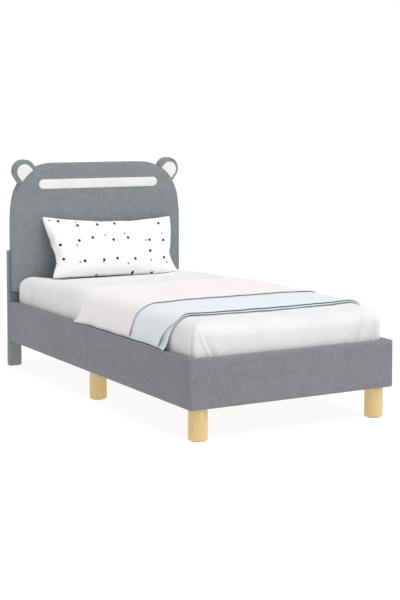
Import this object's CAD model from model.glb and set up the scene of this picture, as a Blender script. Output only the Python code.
"""The looks of the toddler bed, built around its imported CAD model. Everything is in metres, in the model's own
frame: +X to the right seen from the foot, +Y towards the headboard, +Z up."""

import math

import bmesh
import bpy
import numpy as np
from mathutils import Euler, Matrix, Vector, noise
from mathutils.geometry import delaunay_2d_cdt


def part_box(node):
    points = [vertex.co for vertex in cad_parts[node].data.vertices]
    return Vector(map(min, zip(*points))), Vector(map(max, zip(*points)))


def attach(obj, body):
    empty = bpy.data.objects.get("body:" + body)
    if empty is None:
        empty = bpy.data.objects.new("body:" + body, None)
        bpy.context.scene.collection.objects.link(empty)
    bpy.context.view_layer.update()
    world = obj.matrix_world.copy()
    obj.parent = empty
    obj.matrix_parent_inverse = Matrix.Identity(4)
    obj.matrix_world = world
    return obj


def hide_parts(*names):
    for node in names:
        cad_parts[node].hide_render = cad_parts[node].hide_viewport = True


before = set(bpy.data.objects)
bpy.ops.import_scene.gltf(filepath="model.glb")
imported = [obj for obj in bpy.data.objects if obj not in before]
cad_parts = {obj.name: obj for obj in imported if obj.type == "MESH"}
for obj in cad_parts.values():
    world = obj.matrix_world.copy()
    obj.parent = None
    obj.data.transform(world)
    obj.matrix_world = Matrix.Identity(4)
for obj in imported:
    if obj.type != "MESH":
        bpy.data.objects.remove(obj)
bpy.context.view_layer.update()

FRAME_BODY = "bed_frame"
MM = 0.001

# ---- places and sizes, from the frame ----

RAIL_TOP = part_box("foot_rail")[1].z
HEAD_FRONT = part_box("headboard_padding")[0].y
BOARD_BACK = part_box("headboard_front_board")[1].y
HEAD_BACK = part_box("headboard_back_panel")[1].y
SHEET_LOW, SHEET_HIGH = (np.array(corner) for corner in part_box("fitted_sheet"))
PILLOW_LOW, PILLOW_HIGH = (np.array(corner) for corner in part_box("pillow"))

# The mattress: radius of its upper edges, of its lower edges and of its corners seen from above, and how far
# its top comes down towards its two ends
EDGE_R = 48 * MM
LOWER_R = 12 * MM
CORNER_R = 9 * MM
END_DROP = 20 * MM
EDGE_FULLER = 0.5
DROP_FROM = SHEET_LOW[2] + 42 * MM
FOOT_RISE = 160 * MM
HEAD_FALL = (0.30, 0.60)

# ---- mesh building ----


def smoothstep(value, start, end):
    """0 up to start, 1 from end on, and a smooth ramp between them."""
    t = np.clip((value - start) / (end - start), 0, 1)
    return t * t * (3 - 2 * t)


def bump(value, middle, width):
    """A smooth hill of height 1 around middle."""
    return np.exp(-(((value - middle) / width) ** 2))


def rough(points, size, seed=0.0):
    """Smooth noise between -1 and 1 at each point, with features of about that size."""
    shift = Vector((seed, seed * 1.7, seed * 2.3))
    return np.array([noise.noise(Vector(p) / size + shift) for p in points])


def make_piece(name, points, faces, material, body=FRAME_BODY, replaces=()):
    """A smooth-shaded mesh object that rides on a CAD body and stands for the CAD nodes that it replaces."""
    mesh = bpy.data.meshes.new(name)
    mesh.from_pydata([tuple(p) for p in points], [], [tuple(f) for f in faces])
    mesh.polygons.foreach_set("use_smooth", [True] * len(mesh.polygons))
    mesh.materials.append(material)
    mesh.update()
    piece = bpy.data.objects.new(name, mesh)
    bpy.context.scene.collection.objects.link(piece)
    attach(piece, body)
    if replaces:
        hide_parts(*replaces)
    return piece


def face_outwards(piece):
    """Turns the faces of a closed mesh outwards."""
    bm = bmesh.new()
    bm.from_mesh(piece.data)
    bmesh.ops.recalc_face_normals(bm, faces=bm.faces)
    bm.to_mesh(piece.data)
    bm.free()


def thicken(piece, thickness, inwards=True):
    """Gives an open cloth surface its thickness."""
    solidify = piece.modifiers.new("thickness", "SOLIDIFY")
    solidify.thickness = thickness
    solidify.offset = -1 if inwards else 1
    return piece


def grid_faces(rows, columns, closed=False):
    """Quads between the points of a grid stored row by row; closed joins the last column to the first."""
    last = columns if closed else columns - 1
    faces = []
    for row in range(0, (rows - 1) * columns, columns):
        for c in range(last):
            right = (c + 1) % columns
            faces.append((row + c, row + right, row + columns + right, row + columns + c))
    return faces


def rounded_box(low, high, radius, steps, corner=3):
    """A box with rounded edges, as points and quads about steps apart in X, Y and Z."""
    low, high = np.array(low, float), np.array(high, float)
    bend = radius * np.tan(np.radians(45) * np.arange(corner + 1) / corner)
    ticks = []
    for a in range(3):
        start, end = low[a] + radius, high[a] - radius
        count = max(2, round((end - start) / steps[a]) + 1)
        middle = np.linspace(start, end, count)
        ticks.append(np.concatenate([(start - bend)[:0:-1], middle, (end + bend)[1:]]))
    index, points, faces = {}, [], []

    def corner_at(key):
        if key not in index:
            index[key] = len(points)
            points.append([ticks[a][key[a]] for a in range(3)])
        return index[key]

    for a in range(3):
        b, c = (a + 1) % 3, (a + 2) % 3
        for side in (0, len(ticks[a]) - 1):
            for i in range(len(ticks[b]) - 1):
                for j in range(len(ticks[c]) - 1):
                    ring = [(i, j), (i + 1, j), (i + 1, j + 1), (i, j + 1)]
                    if side == 0:
                        ring.reverse()
                    keys = []
                    for p, q in ring:
                        key = [0, 0, 0]
                        key[a], key[b], key[c] = side, p, q
                        keys.append(corner_at(tuple(key)))
                    faces.append(keys)
    points = np.array(points)
    core = np.clip(points, low + radius, high - radius)
    way = points - core
    way /= np.linalg.norm(way, axis=1, keepdims=True)
    return core + way * radius, faces, way


# ---- materials ----


def srgb(red, green, blue):
    """A colour given from 0 to 255 as linear light."""
    return tuple(c / 3294.6 if c <= 10 else ((c / 255 + 0.055) / 1.055) ** 2.4 for c in (red, green, blue)) + (1.0,)


class Shader:
    """One Principled material, built with short calls."""

    def __init__(self, name, roughness, specular=0.5, sheen=0.0):
        self.material = bpy.data.materials.new(name)
        self.material.use_nodes = True
        self.tree = self.material.node_tree
        self.shader = self.tree.nodes["Principled BSDF"]
        self.shader.inputs["Roughness"].default_value = roughness
        self.shader.inputs["Specular IOR Level"].default_value = specular
        self.shader.inputs["Sheen Weight"].default_value = sheen
        self.place = self.add("ShaderNodeTexCoord")
        self.coords = self.place.outputs["Object"]

    def add(self, kind, **settings):
        node = self.tree.nodes.new(kind)
        for key, value in settings.items():
            setattr(node, key, value)
        return node

    def put(self, socket, value):
        """Links an output to the socket, or sets its value."""
        if isinstance(value, bpy.types.NodeSocket):
            self.tree.links.new(value, socket)
        else:
            socket.default_value = value

    def math(self, operation, a, b=0.0):
        node = self.add("ShaderNodeMath", operation=operation)
        self.put(node.inputs[0], a)
        self.put(node.inputs[1], b)
        return node.outputs[0]

    def times(self, a, b):
        return self.math("MULTIPLY", a, b)

    def plus(self, a, b):
        return self.math("ADD", a, b)

    def pick(self, choice, a, b):
        """a where choice is 0, b where it is 1."""
        return self.plus(a, self.times(choice, self.math("SUBTRACT", b, a)))

    def split(self, vector):
        node = self.add("ShaderNodeSeparateXYZ")
        self.put(node.inputs[0], vector)
        return node.outputs[:3]

    def join(self, x, y, z=0.0):
        node = self.add("ShaderNodeCombineXYZ")
        for socket, value in zip(node.inputs, (x, y, z)):
            self.put(socket, value)
        return node.outputs[0]

    def noise(self, vector, size, detail=2.0):
        """Noise around 0.5 with features of about that size."""
        node = self.add("ShaderNodeTexNoise")
        self.put(node.inputs["Vector"], vector)
        node.inputs["Scale"].default_value = 1 / size
        node.inputs["Detail"].default_value = detail
        return node.outputs[0]

    def ramp(self, value, low, high):
        """0 below low and 1 above high."""
        node = self.add("ShaderNodeMapRange")
        self.put(node.inputs["Value"], value)
        node.inputs["From Min"].default_value = low
        node.inputs["From Max"].default_value = high
        return node.outputs[0]

    def mix(self, factor, a, b):
        node = self.add("ShaderNodeMix", data_type="RGBA")
        self.put(node.inputs["Factor"], factor)
        self.put(node.inputs["A"], a)
        self.put(node.inputs["B"], b)
        return node.outputs["Result"]

    def cloth_plane(self):
        """The two directions of the threads, in metres, on whichever plane the surface faces most."""
        x, y, z = self.split(self.coords)
        nx, ny, nz = (self.math("ABSOLUTE", c) for c in self.split(self.place.outputs["Normal"]))
        faces_x = self.math("GREATER_THAN", nx, self.math("MAXIMUM", ny, nz))
        faces_z = self.math("GREATER_THAN", nz, self.math("MAXIMUM", nx, ny))
        return self.pick(faces_x, x, y), self.pick(faces_z, z, y)

    def weave(self, u, v, pitch):
        """Height of a plain weave: threads that pass over and under each other."""
        warp = self.math("ABSOLUTE", self.math("SINE", self.times(u, math.pi / pitch)))
        weft = self.math("ABSOLUTE", self.math("SINE", self.times(v, math.pi / pitch)))
        cells = [self.math("FLOOR", self.times(c, 1 / pitch)) for c in (u, v)]
        over = self.math("FLOORED_MODULO", self.plus(*cells), 2.0)
        return self.pick(over, warp, weft)

    def pushed(self, vector, amount, factor):
        """A coordinate pushed sideways by a noise."""
        push = self.times(self.math("SUBTRACT", amount, 0.5), factor)
        node = self.add("ShaderNodeVectorMath", operation="ADD")
        self.put(node.inputs[0], vector)
        self.put(node.inputs[1], self.join(push, push, push))
        return node.outputs[0]

    def finish(self, color, height=None, strength=0.5, distance=0.0005, roughness=None):
        """Connects the colour, the height for the bump, and the roughness where it varies."""
        self.put(self.shader.inputs["Base Color"], color)
        if roughness is not None:
            self.put(self.shader.inputs["Roughness"], roughness)
        if height is not None:
            node = self.add("ShaderNodeBump")
            node.inputs["Strength"].default_value = strength
            node.inputs["Distance"].default_value = distance
            self.put(node.inputs["Height"], height)
            self.put(self.shader.inputs["Normal"], node.outputs[0])
        return self.material


def linen(name, dark, light):
    """Grey upholstery linen: a coarse weave with slubs, thicker threads that show as short streaks."""
    s = Shader(name, roughness=0.92, specular=0.2, sheen=0.15)
    u, v = s.cloth_plane()
    upright = s.noise(s.join(s.times(u, 1 / 0.0042), s.times(v, 1 / 0.034)), 1.0)
    lying = s.noise(s.join(s.times(u, 1 / 0.034), s.times(v, 1 / 0.0042), 3.7), 1.0)
    weave = s.weave(u, v, 0.0013)
    slubs = s.plus(s.times(upright, 0.6), s.times(lying, 0.4))
    tone = s.plus(s.times(slubs, 0.72), s.times(weave, 0.16))
    tone = s.plus(tone, s.times(s.noise(s.coords, 0.19), 0.12))
    color = s.mix(s.ramp(tone, 0.30, 0.70), dark, light)
    height = s.plus(s.times(weave, 0.7), s.times(slubs, 1.3))
    return s.finish(color, height, strength=0.55, distance=0.0006)


def cotton(name, dark, light, pitch, sheen=0.1, fuzz=0.3):
    """Fine plain-woven cotton with a soft brushed surface."""
    s = Shader(name, roughness=0.9, specular=0.2, sheen=sheen)
    u, v = s.cloth_plane()
    weave = s.weave(u, v, pitch)
    nap = s.noise(s.coords, 0.0032, detail=1.0)
    cloudy = s.noise(s.coords, 0.08, detail=3.0)
    tone = s.plus(s.plus(s.times(weave, 0.3), s.times(nap, fuzz)), s.times(cloudy, 0.7 - fuzz))
    color = s.mix(s.ramp(tone, 0.25, 0.7), dark, light)
    return s.finish(color, s.plus(weave, nap), strength=0.3, distance=0.0003)


def dotted_cotton(lean):
    """White cotton with scattered black dots, large and small, printed on the leaning pillow's plane."""
    s = Shader("pillow_cotton", roughness=0.88, specular=0.2, sheen=0.1)
    turn = s.add("ShaderNodeMapping", vector_type="POINT")
    s.put(turn.inputs["Vector"], s.coords)
    turn.inputs["Rotation"].default_value = (lean, 0, 0)
    u, _, v = s.split(turn.outputs[0])
    ink = 0.0
    for size, dot, seed in ((0.076, 0.0058, 0.0), (0.092, 0.0034, 5.3)):
        cells = s.add("ShaderNodeTexVoronoi", voronoi_dimensions="2D")
        s.put(cells.inputs["Vector"], s.join(s.plus(u, seed), s.plus(v, seed)))
        cells.inputs["Scale"].default_value = 1 / size
        cells.inputs["Randomness"].default_value = 0.45
        ragged = s.plus(cells.outputs["Distance"], s.times(s.noise(s.coords, 0.003), 0.02))
        ink = s.math("MAXIMUM", ink, s.ramp(s.times(ragged, -size), -dot - 0.0012, -dot - 0.0004))
    weave = s.weave(u, v, 0.0006)
    white = s.mix(weave, srgb(246, 246, 247), srgb(253, 253, 253))
    color = s.mix(ink, white, srgb(42, 44, 46))
    return s.finish(color, s.plus(weave, s.noise(s.coords, 0.002)), strength=0.25, distance=0.0003)


def wood(name, dark, light, along, ring, gloss=0.45):
    """Light wood with its grain along one axis, given as the scale of the three axes."""
    s = Shader(name, roughness=gloss, specular=0.4)
    x, y, z = s.split(s.coords)
    stretched = s.join(*(s.times(c, k) for c, k in zip((x, y, z), along)))
    bend = s.noise(stretched, 0.06, detail=2.0)
    figure = s.noise(s.pushed(stretched, bend, 0.05), ring, detail=4.0)
    pores = s.noise(stretched, 0.0009, detail=2.0)
    tone = s.plus(s.times(figure, 0.75), s.times(pores, 0.25))
    color = s.mix(s.ramp(tone, 0.36, 0.64), dark, light)
    rough_value = s.plus(gloss - 0.08, s.times(pores, 0.16))
    return s.finish(color, s.plus(figure, pores), strength=0.18, distance=0.0004, roughness=rough_value)


def metal(name, dark, light, roughness, metallic, grain):
    """Coated or plated steel with a fine speckle."""
    s = Shader(name, roughness=roughness, specular=0.5)
    s.shader.inputs["Metallic"].default_value = metallic
    speckle = s.noise(s.coords, grain, detail=3.0)
    worn = s.noise(s.coords, 0.02, detail=3.0)
    color = s.mix(s.plus(s.times(speckle, 0.6), s.times(worn, 0.4)), dark, light)
    rough_value = s.plus(roughness - 0.1, s.times(worn, 0.2))
    return s.finish(color, speckle, strength=0.2, distance=0.0002, roughness=rough_value)


def webbing():
    """White polyester webbing with ribs across it."""
    s = Shader("webbing", roughness=0.75, specular=0.3)
    x, y, _ = s.split(s.coords)
    ribs = s.weave(x, y, 0.0018)
    color = s.mix(ribs, srgb(196, 196, 194), srgb(232, 232, 230))
    return s.finish(color, ribs, strength=0.6, distance=0.0006)


def fibreboard():
    """Raw fibreboard: fine felted fibres."""
    s = Shader("fibreboard", roughness=0.85, specular=0.2)
    fibres = s.noise(s.coords, 0.0012, detail=5.0)
    color = s.mix(s.plus(s.times(fibres, 0.7), s.times(s.noise(s.coords, 0.03), 0.3)),
                  srgb(158, 126, 92), srgb(196, 166, 128))
    return s.finish(color, fibres, strength=0.25, distance=0.0003)


def plastic():
    """Moulded grey plastic with a fine spark texture."""
    s = Shader("glide_plastic", roughness=0.55, specular=0.4)
    spark = s.noise(s.coords, 0.0008, detail=3.0)
    return s.finish(s.mix(spark, srgb(84, 84, 86), srgb(104, 104, 106)), spark, strength=0.3, distance=0.0002)


def ticking():
    """White knitted mattress cover with fine ribs."""
    s = Shader("mattress_fabric", roughness=0.9, specular=0.2, sheen=0.1)
    u, v = s.cloth_plane()
    knit = s.weave(u, s.times(v, 0.6), 0.0016)
    color = s.mix(s.plus(s.times(knit, 0.6), s.times(s.noise(s.coords, 0.05), 0.4)),
                  srgb(214, 214, 216), srgb(238, 238, 240))
    return s.finish(color, knit, strength=0.4, distance=0.0005)


LINEN = linen("grey_linen", srgb(116, 117, 121), srgb(150, 151, 156))
HEAD_LINEN = linen("grey_linen_headboard", srgb(119, 124, 126), srgb(156, 161, 164))
INLAY = cotton("white_inlay", srgb(232, 232, 231), srgb(248, 248, 247), 0.0008, sheen=0.05)
WHITE = cotton("white_sheet", srgb(223, 223, 225), srgb(244, 244, 245), 0.0007)
PINK = cotton("pink_cotton", srgb(245, 237, 236), srgb(253, 248, 247), 0.0009, sheen=0.2, fuzz=0.4)
BLUE = cotton("blue_cotton", srgb(225, 233, 239), srgb(240, 246, 251), 0.0009, sheen=0.2, fuzz=0.4)
TICKING = ticking()
BEECH = wood("beech_wood", srgb(223, 191, 131), srgb(238, 212, 155), (1, 1, 0.12), 0.005)
PINE_X = wood("pine_wood_across", srgb(205, 168, 112), srgb(232, 205, 152), (0.1, 1, 1), 0.006, gloss=0.6)
PINE_Y = wood("pine_wood_along", srgb(205, 168, 112), srgb(232, 205, 152), (1, 0.1, 1), 0.006, gloss=0.6)
PINE_Z = wood("pine_wood_upright", srgb(205, 168, 112), srgb(232, 205, 152), (1, 1, 0.1), 0.006, gloss=0.6)
BLACK_STEEL = metal("black_steel", srgb(26, 26, 28), srgb(52, 52, 54), 0.5, 0.0, 0.0012)
ZINC = metal("zinc_steel", srgb(168, 170, 174), srgb(206, 208, 210), 0.35, 1.0, 0.003)
WEBBING = webbing()
FIBREBOARD = fibreboard()
PLASTIC = plastic()


# ---- CAD parts that keep their shape ----


def dress(names, material, edge=0.0):
    """Gives CAD nodes their material and, where edge isn't 0, softly broken edges."""
    for name in names:
        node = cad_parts[name]
        node.data.materials.clear()
        node.data.materials.append(material)
        if edge:
            weld = node.modifiers.new("weld", "WELD")
            weld.merge_threshold = 0.00001
            bevel = node.modifiers.new("edges", "BEVEL")
            bevel.width = edge
            bevel.segments = 2
            bevel.limit_method = "ANGLE"
            bevel.angle_limit = math.radians(40)
            node.modifiers.new("normals", "WEIGHTED_NORMAL")


def starting(*starts):
    return [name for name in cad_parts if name.startswith(starts)]


dress(starting("leg_foot", "leg_mid"), BEECH)
dress(["panel_dowels"], BEECH)
dress([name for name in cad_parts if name[5:].isdigit()], PINE_X, edge=1.5 * MM)
dress(starting("slat_ledge") + ["centre_beam"], PINE_Y, edge=1.5 * MM)
dress(starting("leg_block"), PINE_Y, edge=1.5 * MM)
dress(["centre_leg"], PINE_Z, edge=1.0 * MM)
dress(starting("slat_strap"), WEBBING)
dress(starting("corner_bracket", "splice_plate") + ["beam_hangers"], BLACK_STEEL, edge=0.4 * MM)
dress(["headboard_bolts", "frame_bolts", "leg_studs"], ZINC, edge=0.3 * MM)
dress(["floor_glides"], PLASTIC, edge=0.4 * MM)
dress(["headboard_front_board"], FIBREBOARD)

# ---- upholstered rails, posts and lower panel ----


def covered_board(node, radius, crown, material=LINEN):
    """A board with thin wadding, covered in cloth: soft edges, and faces a little proud between them."""
    low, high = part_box(node)
    points, faces, way = rounded_box(low, high, radius, (0.016, 0.016, 0.012))
    middle, half = (np.array(low) + high) / 2, (np.array(high) - low) / 2
    inside = 1 - np.abs((points - middle) / half) ** 6
    flat = np.abs(way) > 0.999
    for a in range(3):
        others = [b for b in range(3) if b != a]
        if min(half[b] for b in others) > 0.05:
            rise = crown * np.clip(inside[:, others[0]] * inside[:, others[1]], 0, 1)
            points[:, a] += np.where(flat[:, a], way[:, a] * rise, 0)
    points += way * (rough(points, 0.09, half[1]) * 0.25 * MM)[:, None]
    piece = make_piece(node + "_cover", points, faces, material, replaces=[node])
    face_outwards(piece)
    return piece


for rail in ("side_rail_left_foot", "side_rail_left_head", "side_rail_right_foot", "side_rail_right_head"):
    covered_board(rail, 4 * MM, 0.8 * MM)
covered_board("foot_rail", 7 * MM, 1.2 * MM)
covered_board("lower_headboard_panel", 3 * MM, 0.8 * MM, HEAD_LINEN)
covered_board("post_left", 3.5 * MM, 0.6 * MM, HEAD_LINEN)
covered_board("post_right", 3.5 * MM, 0.6 * MM, HEAD_LINEN)

# ---- headboard ----


def outline(node, y):
    """The outer edge of a CAD node's flat face at that y, in order, as X and Z."""
    bm = bmesh.new()
    bm.from_mesh(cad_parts[node].data)
    bmesh.ops.remove_doubles(bm, verts=bm.verts, dist=1e-6)
    flat = {f for f in bm.faces if all(abs(v.co.y - y) < 1e-5 for v in f.verts)}
    edges = {e for f in flat for e in f.edges if sum(g in flat for g in e.link_faces) == 1}
    loops = []
    while edges:
        edge = min(edges, key=lambda e: e.index)
        edges.discard(edge)
        loop = list(edge.verts)
        while True:
            following = [e for e in loop[-1].link_edges if e in edges]
            if not following:
                break
            edges.discard(following[0])
            loop.append(following[0].other_vert(loop[-1]))
        loops.append(np.array([(v.co.x, v.co.z) for v in loop[:-1]]))
    bm.free()
    longest = max(loops, key=lambda loop: np.ptp(loop[:, 0]) + np.ptp(loop[:, 1]))
    x, z = longest.T
    area = np.sum(x * np.roll(z, -1) - np.roll(x, -1) * z)
    return longest if area > 0 else longest[::-1]


def respaced(loop, step):
    """A closed outline with its points a step apart."""
    closed = np.vstack([loop, loop[:1]])
    way = np.concatenate([[0], np.cumsum(np.linalg.norm(np.diff(closed, axis=0), axis=1))])
    at = np.linspace(0, way[-1], max(12, round(way[-1] / step)), endpoint=False)
    return np.column_stack([np.interp(at, way, closed[:, k]) for k in (0, 1)])


def softened(loop, times):
    """A closed outline with its corners softened."""
    for _ in range(times):
        loop = (np.roll(loop, 1, axis=0) + 2 * loop + np.roll(loop, -1, axis=0)) / 4
    return loop


def grown(loop, amount):
    """A closed outline, anticlockwise in X and Z, moved outwards."""
    tangent = np.roll(loop, -1, axis=0) - np.roll(loop, 1, axis=0)
    normal = np.column_stack([tangent[:, 1], -tangent[:, 0]])
    normal /= np.linalg.norm(normal, axis=1, keepdims=True)
    return loop + normal * amount


def distance_to(loop, points):
    """How far each point lies from a closed outline."""
    nearest = np.full(len(points), np.inf)
    for start, end in zip(loop, np.roll(loop, -1, axis=0)):
        way = end - start
        along = np.clip((points - start) @ way / (way @ way), 0, 1)
        nearest = np.minimum(nearest, np.linalg.norm(points - start - along[:, None] * way, axis=1))
    return nearest


def within(loop, points):
    """Which points lie inside a closed outline."""
    x, z = points.T
    inside = np.zeros(len(points), bool)
    for (ax, az), (bx, bz) in zip(loop, np.roll(loop, -1, axis=0)):
        if az != bz:
            inside ^= ((az > z) != (bz > z)) & (x < (bx - ax) * (z - az) / (bz - az) + ax)
    return inside


def face_mesh(loop, radius, crown, reach):
    """One face of a padded board: its points in X and Z with the outline first, how deep each lies behind the
    face's plane, and its triangles. The face is rounded over radius and rises by crown over the reach from its
    edge."""
    insets = [radius * (1 - math.cos(math.radians(a))) for a in (20, 40, 60, 80)]
    if crown:
        insets += [reach * share for share in (0.35, 0.65, 1.0)]
    points = [loop]
    for inset in insets:
        ring = grown(loop, -inset)
        points.append(ring[within(loop, ring) & (distance_to(loop, ring) > 0.96 * inset)])
    pitch = 18 * MM
    low, high = loop.min(axis=0), loop.max(axis=0)
    across, up = (np.arange(a + pitch / 2, b, pitch) for a, b in zip(low, high))
    grid = np.stack(np.meshgrid(across, up), axis=-1).reshape(-1, 2)
    points.append(grid[within(loop, grid) & (distance_to(loop, grid) > insets[-1] + pitch / 3)])
    points = np.vstack(points)
    rim = list(range(len(loop)))
    verts, _, faces, _, _, _ = delaunay_2d_cdt([Vector(p) for p in points], [], [rim], 1, 1e-6)
    points = np.array([tuple(v) for v in verts])
    inset = distance_to(loop, points)
    depth = radius - np.sqrt(np.clip(radius**2 - np.clip(radius - inset, 0, radius) ** 2, 0, None))
    return points, depth - crown * smoothstep(inset, 0, reach), faces


def padded_board(name, loop, front, back, front_r, back_r, material, replaces, crown=0.0, reach=30 * MM):
    """A padded board of that outline between two Y planes, rounded at the edges and crowned in front."""
    n = len(loop)
    a, front_depth, front_faces = face_mesh(loop, front_r, crown, reach)
    b, back_depth, back_faces = face_mesh(loop, back_r, 0.0, reach)
    points = [(x, front + d, z) for (x, z), d in zip(a, front_depth)]
    points += [(x, back - d, z) for (x, z), d in zip(b, back_depth)]
    faces = [tuple(f) for f in front_faces]
    faces += [tuple(v + len(a) for v in f) for f in back_faces]
    faces += [(k, (k + 1) % n, len(a) + (k + 1) % n, len(a) + k) for k in range(n)]
    piece = make_piece(name, points, faces, material, replaces=replaces)
    face_outwards(piece)
    return piece


def neat(node, y, step, proud):
    """The outline of a CAD node at that y, evenly spaced, its corners barely softened, and grown a little."""
    return grown(softened(respaced(outline(node, y), step), 1), proud)


SEAM = 0.4 * MM
EAR_BACK = 6 * MM
PAD_MIDDLE = BOARD_BACK - 12 * MM

padded_board("headboard_front_cover", neat("headboard_padding", PAD_MIDDLE, 4 * MM, 1.2 * MM), HEAD_FRONT,
             BOARD_BACK - SEAM, 6 * MM, 1.5 * MM, HEAD_LINEN, ["headboard_padding"], crown=2.0 * MM)
padded_board("headboard_back_cover", neat("headboard_back_panel", HEAD_BACK, 4 * MM, 0.8 * MM), BOARD_BACK + SEAM,
             HEAD_BACK, 1.5 * MM, 9 * MM, HEAD_LINEN, ["headboard_back_panel"])
for side in ("left", "right"):
    padded_board("ear_cover_" + side, neat("ear_" + side, PAD_MIDDLE, 3 * MM, 1.0 * MM), HEAD_FRONT,
                 BOARD_BACK - SEAM, 5 * MM, 1.5 * MM, HEAD_LINEN, ["ear_" + side],
                 crown=0.8 * MM, reach=12 * MM)
    padded_board("ear_back_cover_" + side, neat("ear_" + side, PAD_MIDDLE, 3 * MM, 0.8 * MM), BOARD_BACK + SEAM,
                 BOARD_BACK + EAR_BACK, 1.5 * MM, 3.5 * MM, HEAD_LINEN, ["headboard_back_panel"])
    padded_board("ear_inlay_pad_" + side, neat("ear_inlay_" + side, HEAD_FRONT, 2.5 * MM, 0), HEAD_FRONT - 2 * MM,
                 HEAD_FRONT + 4 * MM, 2 * MM, 0.5 * MM, INLAY, ["ear_inlay_" + side],
                 crown=0.8 * MM, reach=9 * MM)
padded_board("headboard_strip_pad", neat("headboard_strip", HEAD_FRONT, 2.5 * MM, 0), HEAD_FRONT - 3 * MM,
             HEAD_FRONT + 4 * MM, 2 * MM, 0.5 * MM, INLAY, ["headboard_strip"],
             crown=0.8 * MM, reach=9 * MM)

# ---- mattress and fitted sheet ----


def level(y):
    """1 where the mattress's top is at its full height, 0 at its two ends."""
    return smoothstep(y, SHEET_LOW[1], SHEET_LOW[1] + FOOT_RISE) * (1 - smoothstep(y, *HEAD_FALL))


def lowered(x, y, z):
    """How far a point of the mattress comes down towards the ends: its long edges stay fuller."""
    share = np.clip((z - DROP_FROM) / (SHEET_HIGH[2] - DROP_FROM), 0, 1)
    fuller = EDGE_FULLER * smoothstep(np.abs(x), 0.6 * SHEET_HIGH[0], 0.95 * SHEET_HIGH[0])
    return END_DROP * (1 - level(y)) * share * (1 - fuller)


def corner_reach(way, radius, corner):
    """How far a corner of the given radius reaches, seen from above, as a share of a round one's radius."""
    across = np.sort(np.abs(way[:, :2]), axis=1)
    across /= np.maximum(np.linalg.norm(across, axis=1, keepdims=True), 1e-9)
    low, high = across.T
    side = radius - corner
    b = side * (low + high)
    round_part = b + np.sqrt(np.clip(b**2 - 2 * side**2 + corner**2, 0, None))
    straight_part = radius / np.maximum(high, 0.7)
    return np.where(radius * low <= side * high, straight_part, round_part) / radius


def mattress_shape(inset, steps, corner):
    """The mattress, made smaller all round by inset. Its upper edges are its roundest."""
    low, high = SHEET_LOW + inset, SHEET_HIGH - inset
    points, faces, way = rounded_box(low, high, EDGE_R - inset, steps, corner)
    reach = corner_reach(way, EDGE_R - inset, CORNER_R)
    points[:, :2] += way[:, :2] * ((EDGE_R - inset) * (reach - 1))[:, None]
    bends = (low[2], SHEET_LOW[2] + EDGE_R, SHEET_HIGH[2] - EDGE_R, high[2])
    points[:, 2] = np.interp(points[:, 2], bends, (low[2], SHEET_LOW[2] + LOWER_R, bends[2], bends[3]))
    points[:, 2] -= lowered(*points.T)
    return points, faces, way


def ridge(points, across, up, start, end, width, height):
    """Height of a fold in the cloth that runs from start to end, along two axes, and dies out at its ends."""
    a, b = np.array(start), np.array(end)
    at = points[:, [across, up]]
    along = (at - a) @ (b - a) / np.sum((b - a) ** 2)
    line = a + np.clip(along, 0, 1)[:, None] * (b - a)
    off = np.linalg.norm(at - line, axis=1)
    shape = height * np.exp(-((off / width) ** 2))
    return shape * smoothstep(along, -0.3, 0.25) * (1 - smoothstep(along, 0.9, 1.4))


# Tension folds in the sheet's foot face: X and Z of their two ends, width, and height, negative for a hollow
FOOT_FOLDS = (
    ((-0.336, 0.342), (-0.294, 0.252), 4.5 * MM, 4.6 * MM),
    ((-0.318, 0.330), (-0.284, 0.256), 9.0 * MM, -3.4 * MM),
    ((-0.279, 0.290), (-0.261, 0.252), 4.5 * MM, 4.4 * MM),
    ((-0.270, 0.276), (-0.266, 0.252), 5.0 * MM, -4.0 * MM),
    ((-0.311, 0.358), (-0.311, 0.336), 2.5 * MM, -1.6 * MM),
    ((0.262, 0.345), (0.200, 0.262), 5.0 * MM, 4.2 * MM),
    ((0.284, 0.340), (0.252, 0.262), 14.0 * MM, -3.6 * MM),
    ((0.312, 0.318), (0.309, 0.262), 3.5 * MM, 4.0 * MM),
    ((0.321, 0.318), (0.322, 0.258), 4.0 * MM, -4.6 * MM),
    ((0.331, 0.322), (0.334, 0.262), 4.0 * MM, 2.6 * MM),
)
# The sewn dart at each foot corner: how far round the corner it lies, its width, depth, and its upper end
DART_ANGLE = 57.0
DART_WIDTH = 3.1
DART_DEPTH = 17 * MM
DART_TOP = 314 * MM


def foot_darts(points, way):
    """How far the sewn darts pull the sheet in at the two foot corners."""
    angle = np.degrees(np.arctan2(np.abs(way[:, 0]), -way[:, 1]))
    below = 1 - smoothstep(points[:, 2], DART_TOP - 8 * MM, DART_TOP + 6 * MM)
    pulled = DART_DEPTH * bump(angle, DART_ANGLE, DART_WIDTH) - 1.6 * MM * bump(angle, DART_ANGLE + 9, 6)
    return pulled * below * (way[:, 1] < 0)


def foot_folds(points, way):
    """Height of the tension folds in the sheet's foot face."""
    height = sum(ridge(points, 0, 2, start, end, width, rise) for start, end, width, rise in FOOT_FOLDS)
    return height * smoothstep(-way[:, 1], 0.3, 0.6)


def side_folds(points, way):
    """Height of the soft upright folds in the sheet's long sides, near the headboard."""
    by_head = smoothstep(points[:, 1], 0.24, 0.44)
    upright = np.sin((points[:, 1] + 0.25 * (points[:, 2] - RAIL_TOP)) * 74 + 2 * rough(points, 0.16, 4.0))
    low = 1 - smoothstep(points[:, 2], RAIL_TOP + 20 * MM, RAIL_TOP + 105 * MM)
    return by_head * upright * low * smoothstep(np.abs(way[:, 0]), 0.3, 0.6) * 1.9 * MM


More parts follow.
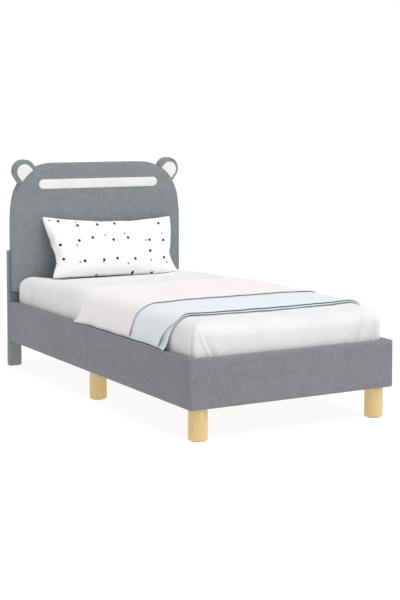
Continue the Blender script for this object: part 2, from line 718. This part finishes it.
def fitted_sheet():
    points, faces, way = mattress_shape(0.0, (4.5 * MM, 8 * MM, 6 * MM), 26)
    low_z = SHEET_LOW[2]
    free = smoothstep(points[:, 2], low_z + 2 * MM, low_z + 24 * MM)
    out = rough(points, 0.11, 1.0) * 1.2 * MM + foot_folds(points, way) + side_folds(points, way)
    out -= foot_darts(points, way)
    points = points + way * (out * free)[:, None]
    side_x = SHEET_HIGH[0] + 1.4 * MM
    points[:, 0] = np.where(points[:, 2] < RAIL_TOP, np.clip(points[:, 0], -side_x, side_x), points[:, 0])
    points[:, 1] = np.minimum(points[:, 1], SHEET_HIGH[1])
    hem = 55 * MM
    middle_y = (SHEET_LOW[1] + SHEET_HIGH[1]) / 2
    open_x = SHEET_HIGH[0] - EDGE_R - hem
    open_y = SHEET_HIGH[1] - middle_y - EDGE_R - hem
    under = (np.abs(points[:, 0]) < open_x) & (np.abs(points[:, 1] - middle_y) < open_y)
    under &= points[:, 2] < low_z + 1 * MM
    kept = [f for f in faces if not all(under[v] for v in f)]
    used = sorted({v for f in kept for v in f})
    number = {v: i for i, v in enumerate(used)}
    kept = [[number[v] for v in f] for f in kept]
    sheet = make_piece("fitted_sheet_cloth", points[used], kept, WHITE, "mattress",
                       ["fitted_sheet"])
    thicken(sheet, 1.2 * MM)


def mattress_body():
    """The foam mattress in its quilted cover: the quilting shows from below."""
    points, faces, way = mattress_shape(2.2 * MM, (14 * MM, 14 * MM, 12 * MM), 6)
    cell = 0.09
    quilt = np.abs(np.sin((points[:, 0] + points[:, 1]) * math.pi / cell))
    quilt *= np.abs(np.sin((points[:, 0] - points[:, 1]) * math.pi / cell))
    flat = np.abs(way[:, 2]) > 0.999
    points += way * np.where(flat, (quilt - 1) * 2.0 * MM, 0)[:, None]
    piece = make_piece("mattress_body", points, faces, TICKING, "mattress", ["mattress"])
    face_outwards(piece)


fitted_sheet()
mattress_body()

# ---- blanket ----

TOP_HALF = SHEET_HIGH[0] - EDGE_R
BEND = EDGE_R * math.pi / 2


def over_mattress(s, y, out):
    """A point over the mattress: s is the way across from its middle line, out the height above its sheet."""
    side, s = np.sign(s), np.abs(s)
    angle = np.clip((s - TOP_HALF) / EDGE_R, 0, math.pi / 2)
    reach = EDGE_R + out
    x = np.minimum(s, TOP_HALF) + reach * np.sin(angle)
    z = SHEET_HIGH[2] - EDGE_R + reach * np.cos(angle) - np.maximum(s - TOP_HALF - BEND, 0)
    return np.column_stack([side * x, y, z - lowered(x, y, z)])


def hem_reach(z):
    """How far across from the middle line a cloth comes that ends at height z."""
    return TOP_HALF + BEND + SHEET_HIGH[2] - EDGE_R - z


def edge_line(s, stops):
    """Y of a cloth's edge across the bed: stops give how far across from the middle line, and Y."""
    at, y = np.array(stops).T
    fine = np.linspace(0, at[-1] + 0.05, 200)
    line = np.interp(fine, at, y)
    kernel = np.hanning(17) / np.hanning(17).sum()
    line = np.convolve(np.pad(line, 8, mode="edge"), kernel, mode="valid")
    return np.interp(np.abs(s), fine, line)


def spaced(start, end, step, fine):
    """Places from start to end, about a step apart, with the fine ones close to both ends."""
    fine = np.array(fine)
    middle = np.linspace(start + fine[-1] + step / 2, end - fine[-1] - step / 2, round((end - start) / step))
    return np.concatenate([start + fine, middle, end - fine[::-1]])


HEM_LINES = tuple(v * MM for v in (0, 0.8, 2.5, 6, 10, 11.5, 13, 17))


def hem_relief(distance):
    """The turned-in hem of a blanket layer: a rounded edge, a fuller band and the stitched line behind it."""
    edge = -1.2 * MM * np.exp(-distance / (1.0 * MM))
    band = 0.7 * MM * (1 - smoothstep(distance, 8 * MM, 11 * MM))
    stitched = -0.9 * MM * bump(distance, 11.5 * MM, 1.2 * MM)
    return edge + band + stitched


class Layer:
    """What sets one layer of the blanket apart. foot and head are the stops of its two edges, hem the height of its
    hems, out how far its outer side stands off the sheet, foot_lift and head_lift how far its two edges stand off
    the layer below, and flare how far its hems stand out in the middle."""

    def __init__(self, name, node, material, slot, foot, head, hem, out, foot_lift, head_lift, flare):
        self.name, self.node, self.material, self.slot = name, node, material, slot
        self.foot, self.head, self.hem, self.out = foot, head, hem, out
        self.foot_lift, self.head_lift, self.flare = foot_lift, head_lift, flare


def blanket_layer(layer):
    """Points and faces of one layer, draped over the mattress, and how long its middle line is."""
    half = hem_reach(layer.hem)
    across = spaced(-half, half, 9 * MM, HEM_LINES)
    waver = rough(np.column_stack([across, across * 0, across * 0 + layer.out]), 0.05) * 2.5 * MM
    foot_y, head_y = edge_line(across, layer.foot) + waver, edge_line(across, layer.head)
    length = float(np.median(head_y - foot_y))
    along = spaced(0.0, length, 9 * MM, HEM_LINES)
    from_edge = np.minimum(along, length - along)
    s = np.tile(across, len(along))
    v = np.repeat(along, len(across))
    t = v / length
    y = np.tile(foot_y, len(along)) * (1 - t) + np.tile(head_y, len(along)) * t
    flat = np.column_stack([s, y, np.full(len(s), BLANKET_SEED)])
    to_hem = half - np.abs(s)
    hanging = smoothstep(np.abs(s), TOP_HALF + BEND * 0.6, half)
    height = layer.out + rough(flat, 0.085) * 0.8 * MM + rough(flat, 0.035) * 0.25 * MM
    height += layer.foot_lift * (1 + 1.2 * hanging) * np.exp(-v / LIFT_REACH)
    height += layer.head_lift * np.exp(-(length - v) / LIFT_REACH)
    height += hem_relief(np.repeat(from_edge, len(across))) + hem_relief(to_hem)
    height += hanging * (np.sin(y * 46 + BLANKET_SEED) * 1.4 + 1.6) * MM
    foot_tip, head_tip = LINING_FOOT[-1][1], LINING_HEAD[-1][1]
    near_tip = np.exp(-((y - foot_tip) / 0.06) ** 2) + np.exp(-((y - head_tip) / 0.06) ** 2)
    flare = (layer.flare + TIP_FLARE * near_tip) * np.clip(1 - to_hem / (34 * MM), 0, 1) ** 2
    points = over_mattress(s, y, height)
    points[:, 0] += np.sign(points[:, 0]) * flare
    points[:, 2] = np.maximum(points[:, 2], layer.hem)
    return points, grid_faces(len(along), len(across)), length


BLANKET_SEED = 11.0
LIFT_REACH = 11 * MM
TIP_FLARE = 13 * MM

# Edges of the layers: how far across from the middle line, and Y
LINING_HEAD = ((0, 0.215), (0.15, 0.205), (0.30, 0.140), (0.35, 0.105), (0.445, 0.110))
COVER_HEAD = ((0, 0.110), (0.20, 0.105), (0.31, 0.075), (0.375, 0.070), (0.41, 0.090))
COVER_FOOT = ((0, -0.350), (0.20, -0.350), (0.32, -0.375), (0.35, -0.350), (0.39, -0.325), (0.43, -0.315))
BORDER_FOOT = ((0, -0.610), (0.35, -0.605), (0.36, -0.585), (0.385, -0.545), (0.41, -0.525))
LINING_FOOT = ((0, -0.620), (0.32, -0.610), (0.355, -0.600), (0.38, -0.580), (0.41, -0.565), (0.445, -0.575))
BORDER_HEAD = [(at, y + 14 * MM) for at, y in COVER_FOOT]

LAYERS = (
    Layer("blanket_lining_cloth", "blanket_lining", BLUE, "blue_cotton", LINING_FOOT, LINING_HEAD,
          RAIL_TOP + 2.8 * MM, 3.6 * MM, 3.8 * MM, 0.6 * MM, 9 * MM),
    Layer("blanket_border_cloth", "blanket_border", BLUE, "blue_cotton", BORDER_FOOT, BORDER_HEAD,
          RAIL_TOP + 7.0 * MM, 6.8 * MM, 6.0 * MM, 0.0, 4 * MM),
    Layer("blanket_cover_cloth", "blanket_cover", PINK, "pink_cotton", COVER_FOOT, COVER_HEAD,
          RAIL_TOP + 8.6 * MM, 9.8 * MM, 3.6 * MM, -2.0 * MM, 2.5 * MM),
)


def make_layer(layer):
    points, faces, length = blanket_layer(layer)
    piece = make_piece(layer.name, points, faces, layer.material, "blanket", [layer.node])
    thicken(piece, 2.4 * MM)


for layer, below in zip(LAYERS, ("fitted_sheet_cloth", "blanket_lining_cloth", "blanket_lining_cloth")):
    make_layer(layer)

# ---- pillow ----

PILLOW_LEAN = math.radians(25)
PILLOW_ROLL = math.radians(1.9)
PILLOW_W = 1.01 * (PILLOW_HIGH[0] - PILLOW_LOW[0])
PILLOW_H = 0.256
PILLOW_T = 0.084
PILLOW_PINCH = 26 * MM
PILLOW_SAG = 16 * MM
# The empty case: how much wider and higher than the filled pillow, and how thick. It is blown up from there
CASE_WIDER, CASE_HIGHER = 1.09, 1.16
CASE_T = 32 * MM
FILL_PRESSURE = 2.2
FILL_FRAMES = 16


def pillow_case(width, height, step, fullness):
    """A barely filled pillow case: two grids that share their edge. The third list is the edge, in order."""
    columns, rows = round(width / step) + 1, round(height / step) + 1
    front = np.arange(rows * columns).reshape(rows, columns)
    back = np.full((rows, columns), -1)
    edge = np.zeros((rows, columns), bool)
    edge[[0, -1], :] = True
    edge[:, [0, -1]] = True
    back[edge] = front[edge]
    back[~edge] = rows * columns + np.arange((~edge).sum())
    x, z = np.meshgrid(np.linspace(-width / 2, width / 2, columns), np.linspace(0, height, rows))
    bulge = np.sqrt((1 - (2 * x / width) ** 2) * (1 - (2 * z / height - 1) ** 2))
    depth = np.where(edge, 0, fullness / 2 * bulge + 2 * MM)
    points = np.column_stack([x.ravel(), -depth.ravel(), z.ravel()])
    points = np.vstack([points, np.column_stack([x[~edge], depth[~edge], z[~edge]])])
    faces = []
    for r in range(rows - 1):
        for c in range(columns - 1):
            ring = [(r, c), (r, c + 1), (r + 1, c + 1), (r + 1, c)]
            faces.append([front[k] for k in ring])
            faces.append([back[k] for k in reversed(ring)])
    rim = [*front[0, :-1], *front[:-1, -1], *front[-1, :0:-1], *front[:0:-1, 0]]
    return points, faces, [int(i) for i in rim]


def inflate(piece, pressure, frames):
    """Blows the piece up as cloth, without gravity, and keeps the result."""
    cloth = piece.modifiers.new("cloth", "CLOTH")
    cloth.settings.use_pressure = True
    cloth.settings.uniform_pressure_force = pressure
    cloth.settings.effector_weights.gravity = 0
    cloth.settings.quality = 6
    cloth.settings.tension_stiffness = 30
    cloth.settings.compression_stiffness = 12
    cloth.settings.bending_stiffness = 0.4
    cloth.collision_settings.use_collision = False
    cloth.point_cache.frame_end = frames
    for number in range(1, frames + 1):
        bpy.context.scene.frame_set(number)
    shape = piece.evaluated_get(bpy.context.evaluated_depsgraph_get())
    points = np.array([v.co for v in shape.data.vertices])
    piece.modifiers.clear()
    bpy.context.scene.frame_set(1)
    return points


def top_of_sheet(x, y):
    """Height of the sheet's top."""
    over = np.clip(np.abs(x) - TOP_HALF, 0, EDGE_R)
    z = SHEET_HIGH[2] - EDGE_R + np.sqrt(EDGE_R**2 - over**2)
    return z - lowered(x, y, z)


def tube(points, radius, sides=8):
    """A closed round cord through the points of a ring."""
    points = np.array(points)
    tangent = np.roll(points, -1, axis=0) - np.roll(points, 1, axis=0)
    tangent /= np.linalg.norm(tangent, axis=1, keepdims=True)
    up = np.cross(tangent, np.array([0.13, 0.96, 0.25]))
    up /= np.linalg.norm(up, axis=1, keepdims=True)
    over = np.cross(tangent, up)
    rings = []
    for k in range(len(points)):
        for a in np.arange(sides) * 2 * math.pi / sides:
            rings.append(points[k] + radius * (math.cos(a) * up[k] + math.sin(a) * over[k]))
    faces = []
    for k in range(len(points)):
        here, there = k * sides, (k + 1) % len(points) * sides
        for a in range(sides):
            b = (a + 1) % sides
            faces.append((here + a, here + b, there + b, there + a))
    return rings, faces


def pillow():
    """The pillow, filled on its back, then leaned on the headboard and set down on the sheet."""
    points, faces, rim = pillow_case(PILLOW_W * CASE_WIDER, PILLOW_H * CASE_HIGHER, 7.5 * MM, CASE_T)
    cover = dotted_cotton(PILLOW_LEAN)
    piece = make_piece("pillow_case", points, faces, cover, "pillow", ["pillow"])
    points = np.array(points)
    points = inflate(piece, FILL_PRESSURE, FILL_FRAMES)
    points[:, 0] *= PILLOW_W / np.ptp(points[:, 0])
    points[:, 2] = (points[:, 2] - points[:, 2].min()) * PILLOW_H / np.ptp(points[:, 2])
    points[:, 1] *= PILLOW_T / np.ptp(points[:, 1])
    middle = np.cos(points[:, 0] * math.pi / PILLOW_W)
    up = points[:, 2] / PILLOW_H
    points[:, 2] -= 5 * MM * smoothstep(up, 0.6, 1.0) * middle
    points[:, 2] -= PILLOW_SAG * (1 - smoothstep(up, 0.0, 0.45)) * middle
    to_side = np.abs(2 * points[:, 0] / PILLOW_W) ** 3
    points[:, 0] -= np.sign(points[:, 0]) * PILLOW_PINCH * to_side * bump(up, 0.3, 0.24)
    lean = Euler((-PILLOW_LEAN, 0, 0)).to_matrix() @ Euler((0, PILLOW_ROLL, 0)).to_matrix()
    points = points @ np.array(lean).T
    points += [(PILLOW_LOW[0] + PILLOW_HIGH[0]) / 2, 0, 0]
    back_limit = HEAD_FRONT - 4 * MM
    points[:, 1] += back_limit - points[:, 1].max() + 3 * MM
    points[:, 2] += PILLOW_HIGH[2] - points[:, 2].max()
    lowest = top_of_sheet(points[:, 0], points[:, 1]) + 2.0 * MM
    points[:, 2] = np.maximum(points[:, 2], lowest)
    points[:, 1] = np.minimum(points[:, 1], back_limit)
    piece.data.vertices.foreach_set("co", points.ravel())
    piece.data.update()
    face_outwards(piece)
    subdivide = piece.modifiers.new("smooth", "SUBSURF")
    subdivide.levels = subdivide.render_levels = 1
    cord, cord_faces = tube(softened(points[rim], 2), 0.9 * MM)
    make_piece("pillow_seam", cord, cord_faces, WHITE, "pillow")
    return piece


pillow()

# ---- floor, light and camera ----


def floor():
    """A wide pale floor that runs on to the horizon. It glows, so shadows on it are faint."""
    s = Shader("floor", roughness=0.9, specular=0.0)
    color = s.mix(s.noise(s.coords, 0.4), (0.17, 0.17, 0.17, 1), (0.19, 0.19, 0.19, 1))
    s.shader.inputs["Emission Color"].default_value = (1, 1, 1, 1)
    s.shader.inputs["Emission Strength"].default_value = 0.88
    s.finish(color)
    size = 60.0
    mesh = bpy.data.meshes.new("floor")
    corners = [(-size, -size, 0), (size, -size, 0), (size, size, 0), (-size, size, 0)]
    mesh.from_pydata(corners, [], [(0, 1, 2, 3)])
    mesh.materials.append(s.material)
    piece = bpy.data.objects.new("floor", mesh)
    bpy.context.scene.collection.objects.link(piece)


# The light: strength of the surround, and strength, direction and apparent size in degrees of the lamp
SKY_LIGHT = 0.56
SUN_LIGHT = 1.75
SUN_FROM = (0.19, -0.36, 0.91)
SUN_SIZE = 50


def studio():
    """An even white surround, seen at full white and lighting at less, and one broad light above the foot."""
    world = bpy.data.worlds.new("studio")
    world.use_nodes = True
    nodes, links = world.node_tree.nodes, world.node_tree.links
    back = nodes["Background"]
    back.inputs["Color"].default_value = (1, 1, 1, 1)
    path = nodes.new("ShaderNodeLightPath")
    glow = nodes.new("ShaderNodeMapRange")
    glow.inputs["To Min"].default_value = SKY_LIGHT
    glow.inputs["To Max"].default_value = 1.05
    links.new(path.outputs["Is Camera Ray"], glow.inputs["Value"])
    links.new(glow.outputs[0], back.inputs["Strength"])
    bpy.context.scene.world = world
    light = bpy.data.lights.new("softbox", "SUN")
    light.energy = SUN_LIGHT
    light.angle = math.radians(SUN_SIZE)
    lamp = bpy.data.objects.new("softbox", light)
    lamp.rotation_euler = Vector(SUN_FROM).to_track_quat("Z", "Y").to_euler()
    bpy.context.scene.collection.objects.link(lamp)
    bpy.context.scene.view_settings.view_transform = "Standard"
    bpy.context.scene.view_settings.look = "None"


# The camera: where it stands, how far it looks down and to the right in degrees, its focal length in mm, and shift
EYE_AT = (-2.3053, -4.1892, 0.9808)
EYE_DOWN = 3.988
EYE_RIGHT = 29.614
FOCAL_LENGTH = 80.26
LENS_SHIFT = -0.15


def camera():
    """The camera stands at the foot, to the left, and looks slightly down."""
    lens = bpy.data.cameras.new("camera")
    lens.sensor_width = 36
    lens.lens = FOCAL_LENGTH
    lens.shift_y = LENS_SHIFT
    eye = bpy.data.objects.new("camera", lens)
    eye.location = EYE_AT
    eye.rotation_euler = (math.radians(90 - EYE_DOWN), 0, math.radians(-EYE_RIGHT))
    bpy.context.scene.collection.objects.link(eye)
    bpy.context.scene.camera = eye


floor()
studio()
camera()
